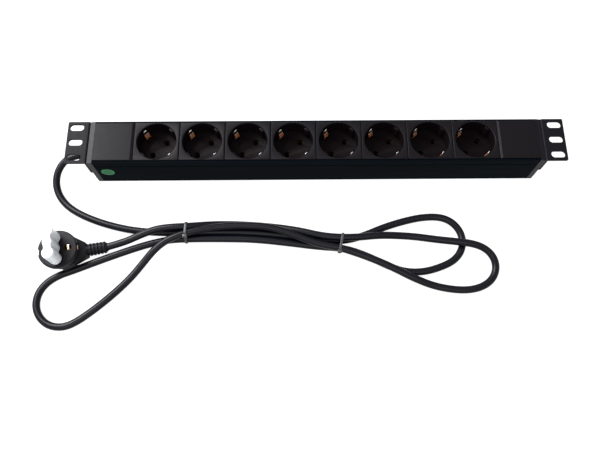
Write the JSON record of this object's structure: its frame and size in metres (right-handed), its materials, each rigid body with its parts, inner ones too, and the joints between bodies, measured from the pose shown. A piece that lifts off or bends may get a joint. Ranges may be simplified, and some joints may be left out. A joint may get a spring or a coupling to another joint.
{
  "type": "rack power strip",
  "caption": "Rack-mount power strip with a row of earthed round sockets, slotted rack ears and a moulded mains lead with angled plug",
  "frame": {"origin": "centre of the strip's back face, on the surface it lies on; the lead and its plug lie in front of it", "axes": "+X along the strip away from the lead's end, +Y across the strip away from the lead's bundle, +Z out of the socket faces"},
  "size_m": [0.5109, 0.1975, 0.049],
  "materials": {
    "black_anodised": "satin black anodised aluminium",
    "black_powder_coat": "satin black powder coat",
    "black_cap_plastic": "satin black",
    "black_plate_plastic": "satin black moulded",
    "grey_base_plastic": "dull grey moulded",
    "nickel_brass": "nickel-plated bronze, worn to bronze on the bulge",
    "brass": "plain brass",
    "brown_core": "brown PVC",
    "blue_core": "blue PVC",
    "green_yellow_core": "green and yellow PVC",
    "black_pvc": "satin black PVC",
    "black_clamp_plastic": "dull black",
    "zinc_steel": "zinc plated",
    "tie_plastic": "black nylon",
    "green_sticker": "printed film",
    "black_plug_pvc": "satin black moulded PVC",
    "nickel_pin": "nickel plated",
    "contact_brass": "plain brass",
    "bridge_plastic": "dull grey",
    "milky_guard": "milky translucent polythene"
  },
  "bodies": {
    "strip": {"blank_panel_left": "black_plate_plastic", "blank_panel_right": "black_plate_plastic", "cable_ties": "tie_plastic", "clamp_screws": "zinc_steel", "cord_clamp": "black_clamp_plastic", "cord_gland": "black_pvc", "cord_tail": "black_pvc", "ear_left": "black_powder_coat", "ear_right": "black_powder_coat", "ear_screws": "zinc_steel", "earth_bus_bar": "brass", "earth_stud": "zinc_steel", "earth_wire": "green_yellow_core", "end_cap_left": "black_cap_plastic", "end_cap_right": "black_cap_plastic", "end_cap_screws": "zinc_steel", "housing": "black_anodised", "inspection_sticker": "green_sticker", "live_bus_bar": "brass", "live_wire": "brown_core", "mains_cord": "black_pvc", "neutral_bus_bar": "brass", "neutral_wire": "blue_core", "plug_body": "black_plug_pvc", "plug_bridge": "bridge_plastic", "plug_earth_contacts": "contact_brass", "plug_pins": "nickel_pin", "socket_base_1": "grey_base_plastic", "socket_base_2": "grey_base_plastic", "socket_base_3": "grey_base_plastic", "socket_base_4": "grey_base_plastic", "socket_base_5": "grey_base_plastic", "socket_base_6": "grey_base_plastic", "socket_base_7": "grey_base_plastic", "socket_base_8": "grey_base_plastic", "socket_front_1": "black_plate_plastic", "socket_front_2": "black_plate_plastic", "socket_front_3": "black_plate_plastic", "socket_front_4": "black_plate_plastic", "socket_front_5": "black_plate_plastic", "socket_front_6": "black_plate_plastic", "socket_front_7": "black_plate_plastic", "socket_front_8": "black_plate_plastic"},
    "earth_clip_1_lower": {"earth_clip_1_lower": "nickel_brass"},
    "earth_clip_1_upper": {"earth_clip_1_upper": "nickel_brass"},
    "earth_clip_2_lower": {"earth_clip_2_lower": "nickel_brass"},
    "earth_clip_2_upper": {"earth_clip_2_upper": "nickel_brass"},
    "earth_clip_3_lower": {"earth_clip_3_lower": "nickel_brass"},
    "earth_clip_3_upper": {"earth_clip_3_upper": "nickel_brass"},
    "earth_clip_4_lower": {"earth_clip_4_lower": "nickel_brass"},
    "earth_clip_4_upper": {"earth_clip_4_upper": "nickel_brass"},
    "earth_clip_5_lower": {"earth_clip_5_lower": "nickel_brass"},
    "earth_clip_5_upper": {"earth_clip_5_upper": "nickel_brass"},
    "earth_clip_6_lower": {"earth_clip_6_lower": "nickel_brass"},
    "earth_clip_6_upper": {"earth_clip_6_upper": "nickel_brass"},
    "earth_clip_7_lower": {"earth_clip_7_lower": "nickel_brass"},
    "earth_clip_7_upper": {"earth_clip_7_upper": "nickel_brass"},
    "earth_clip_8_lower": {"earth_clip_8_lower": "nickel_brass"},
    "earth_clip_8_upper": {"earth_clip_8_upper": "nickel_brass"},
    "pin_guard": {"pin_guard": "milky_guard"}
  },
  "joints": [
    {"name": "earth_clip_1_lower_spring", "type": "hinge", "parent": "strip", "child": "earth_clip_1_lower", "pos_m": [-0.14078, -0.01322, 0.0215], "axis": [0.7071, 0.7071, 0], "range_deg": [0, 7], "stiffness_Nm_per_rad": 1},
    {"name": "earth_clip_1_upper_spring", "type": "hinge", "parent": "strip", "child": "earth_clip_1_upper", "pos_m": [-0.16722, 0.01322, 0.0215], "axis": [-0.7071, -0.7071, 0], "range_deg": [0, 7], "stiffness_Nm_per_rad": 1},
    {"name": "earth_clip_2_lower_spring", "type": "hinge", "parent": "strip", "child": "earth_clip_2_lower", "pos_m": [-0.09678, -0.01322, 0.0215], "axis": [0.7071, 0.7071, 0], "range_deg": [0, 7], "stiffness_Nm_per_rad": 1},
    {"name": "earth_clip_2_upper_spring", "type": "hinge", "parent": "strip", "child": "earth_clip_2_upper", "pos_m": [-0.12322, 0.01322, 0.0215], "axis": [-0.7071, -0.7071, 0], "range_deg": [0, 7], "stiffness_Nm_per_rad": 1},
    {"name": "earth_clip_3_lower_spring", "type": "hinge", "parent": "strip", "child": "earth_clip_3_lower", "pos_m": [-0.05278, -0.01322, 0.0215], "axis": [0.7071, 0.7071, 0], "range_deg": [0, 7], "stiffness_Nm_per_rad": 1},
    {"name": "earth_clip_3_upper_spring", "type": "hinge", "parent": "strip", "child": "earth_clip_3_upper", "pos_m": [-0.07922, 0.01322, 0.0215], "axis": [-0.7071, -0.7071, 0], "range_deg": [0, 7], "stiffness_Nm_per_rad": 1},
    {"name": "earth_clip_4_lower_spring", "type": "hinge", "parent": "strip", "child": "earth_clip_4_lower", "pos_m": [-0.00878, -0.01322, 0.0215], "axis": [0.7071, 0.7071, 0], "range_deg": [0, 7], "stiffness_Nm_per_rad": 1},
    {"name": "earth_clip_4_upper_spring", "type": "hinge", "parent": "strip", "child": "earth_clip_4_upper", "pos_m": [-0.03522, 0.01322, 0.0215], "axis": [-0.7071, -0.7071, 0], "range_deg": [0, 7], "stiffness_Nm_per_rad": 1},
    {"name": "earth_clip_5_lower_spring", "type": "hinge", "parent": "strip", "child": "earth_clip_5_lower", "pos_m": [0.03522, -0.01322, 0.0215], "axis": [0.7071, 0.7071, 0], "range_deg": [0, 7], "stiffness_Nm_per_rad": 1},
    {"name": "earth_clip_5_upper_spring", "type": "hinge", "parent": "strip", "child": "earth_clip_5_upper", "pos_m": [0.00878, 0.01322, 0.0215], "axis": [-0.7071, -0.7071, 0], "range_deg": [0, 7], "stiffness_Nm_per_rad": 1},
    {"name": "earth_clip_6_lower_spring", "type": "hinge", "parent": "strip", "child": "earth_clip_6_lower", "pos_m": [0.07922, -0.01322, 0.0215], "axis": [0.7071, 0.7071, 0], "range_deg": [0, 7], "stiffness_Nm_per_rad": 1},
    {"name": "earth_clip_6_upper_spring", "type": "hinge", "parent": "strip", "child": "earth_clip_6_upper", "pos_m": [0.05278, 0.01322, 0.0215], "axis": [-0.7071, -0.7071, 0], "range_deg": [0, 7], "stiffness_Nm_per_rad": 1},
    {"name": "earth_clip_7_lower_spring", "type": "hinge", "parent": "strip", "child": "earth_clip_7_lower", "pos_m": [0.12322, -0.01322, 0.0215], "axis": [0.7071, 0.7071, 0], "range_deg": [0, 7], "stiffness_Nm_per_rad": 1},
    {"name": "earth_clip_7_upper_spring", "type": "hinge", "parent": "strip", "child": "earth_clip_7_upper", "pos_m": [0.09678, 0.01322, 0.0215], "axis": [-0.7071, -0.7071, 0], "range_deg": [0, 7], "stiffness_Nm_per_rad": 1},
    {"name": "earth_clip_8_lower_spring", "type": "hinge", "parent": "strip", "child": "earth_clip_8_lower", "pos_m": [0.16722, -0.01322, 0.0215], "axis": [0.7071, 0.7071, 0], "range_deg": [0, 7], "stiffness_Nm_per_rad": 1},
    {"name": "earth_clip_8_upper_spring", "type": "hinge", "parent": "strip", "child": "earth_clip_8_upper", "pos_m": [0.14078, 0.01322, 0.0215], "axis": [-0.7071, -0.7071, 0], "range_deg": [0, 7], "stiffness_Nm_per_rad": 1},
    {"name": "pin_guard_slide", "type": "slide", "parent": "strip", "child": "pin_guard", "axis": [0, 0, 1], "range_m": [-0.0018, 0.023]}
  ]
}
